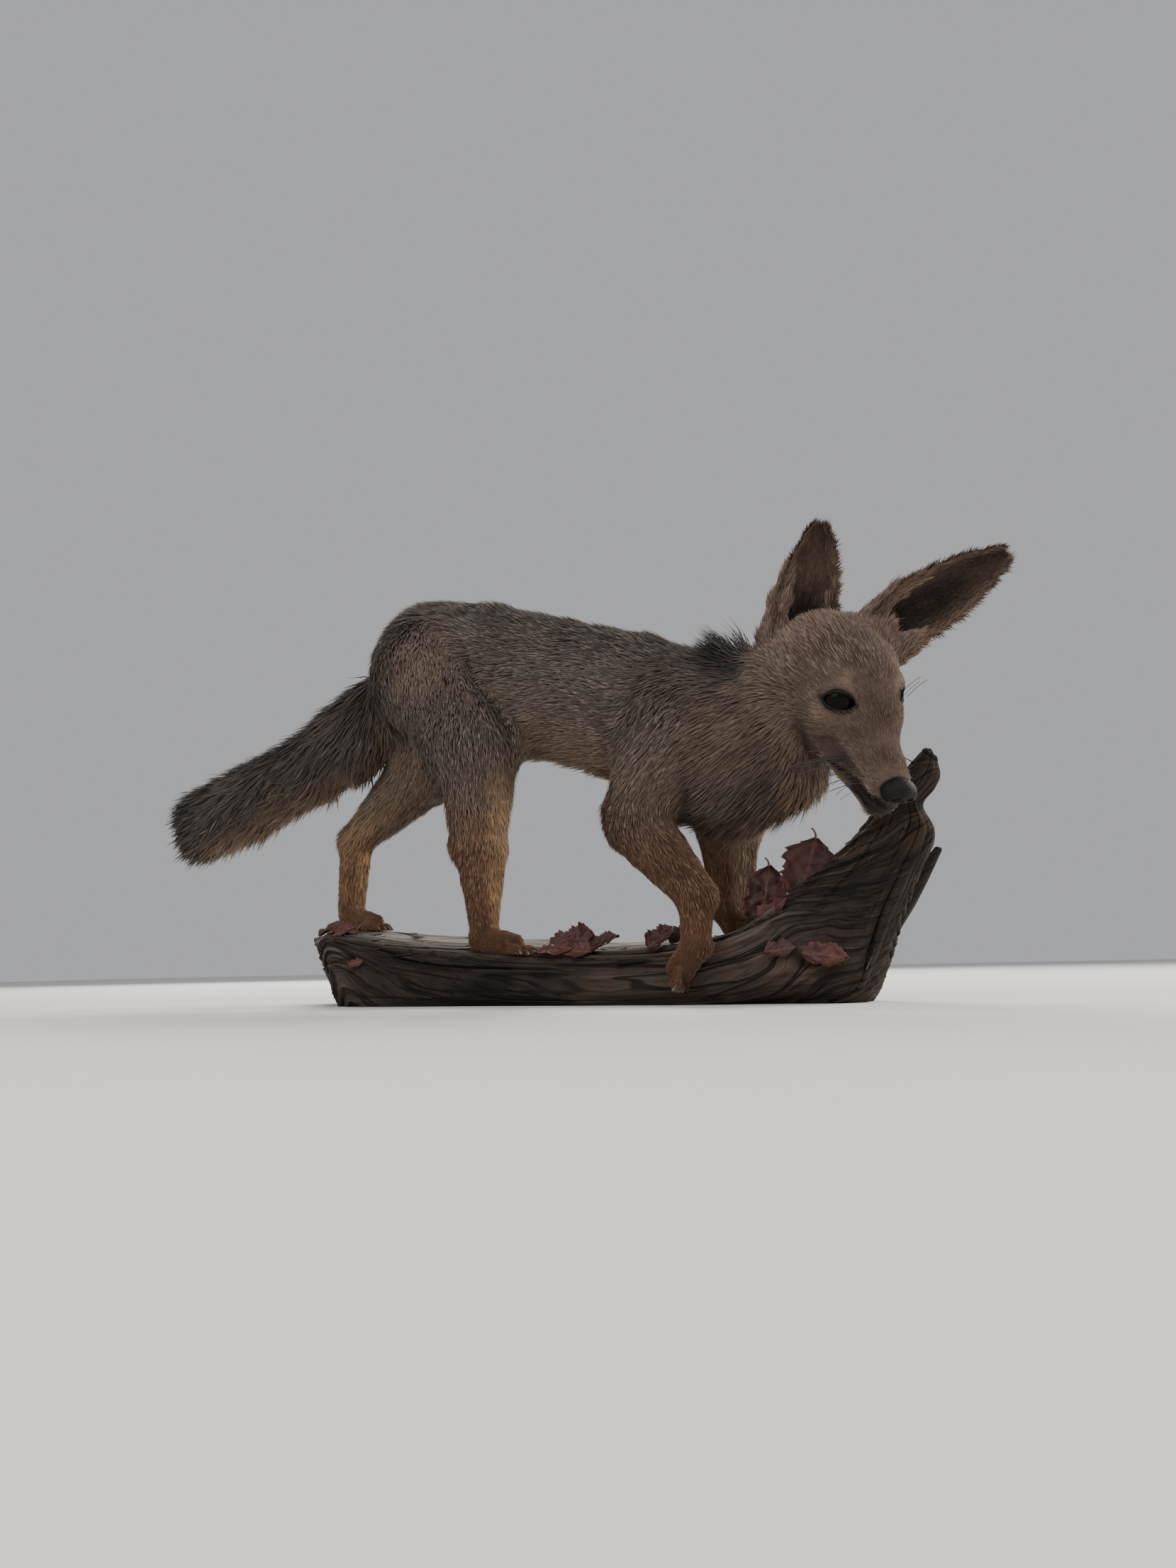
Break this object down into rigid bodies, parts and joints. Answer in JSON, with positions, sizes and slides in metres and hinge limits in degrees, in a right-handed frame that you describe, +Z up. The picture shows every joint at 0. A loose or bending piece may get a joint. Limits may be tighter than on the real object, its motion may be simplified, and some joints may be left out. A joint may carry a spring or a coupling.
{
  "type": "taxidermy fox",
  "caption": "Mounted fox in a lowered, searching walk on a weathered driftwood base with dried leaves; a still museum display model that rests on its own base.",
  "frame": {"origin": "on the flat underside of the driftwood base, near the middle of the log", "axes": "+X along the log towards the fox's head, +Y to the fox's left side, +Z up"},
  "size_m": [0.7503, 0.1681, 0.3337],
  "materials": {
    "coat": "grizzled grey-brown fur with pale tips, darker along the back and tail",
    "leg_coat": "short tawny fur on the legs, paler on the inside and at the paws",
    "ear": "thin ear covered in short dark fur, paler at the edge",
    "eye": "dark polished glass eye",
    "nose": "dark pebbled nose, lips and claws",
    "driftwood": "dry weathered grey-brown wood with open grain and cracks",
    "dried_leaf": "crisp curled red-brown leaf"
  },
  "bodies": {
    "root": {"driftwood_horn": "driftwood", "driftwood_log": "driftwood", "driftwood_splinter": "driftwood", "ear_left": "ear", "ear_right": "ear", "eye_left": "eye", "eye_right": "eye", "foreleg_left_lower": "leg_coat", "foreleg_left_paw": "leg_coat", "foreleg_left_upper": "leg_coat", "foreleg_right_lower": "leg_coat", "foreleg_right_paw": "leg_coat", "foreleg_right_upper": "leg_coat", "head": "coat", "hindleg_left_foot": "leg_coat", "hindleg_left_shank": "leg_coat", "hindleg_left_thigh": "leg_coat", "hindleg_right_foot": "leg_coat", "hindleg_right_shank": "leg_coat", "hindleg_right_thigh": "leg_coat", "leaf_curled": "dried_leaf", "leaf_end": "dried_leaf", "leaf_front_left": "dried_leaf", "leaf_front_right": "dried_leaf", "leaf_middle_left": "dried_leaf", "leaf_middle_right": "dried_leaf", "leaf_small": "dried_leaf", "leaf_standing_left": "dried_leaf", "leaf_standing_right": "dried_leaf", "neck": "coat", "nose": "nose", "tail_base": "coat", "tail_middle": "coat", "tail_tip": "coat", "trunk": "coat"}
  },
  "joints": []
}
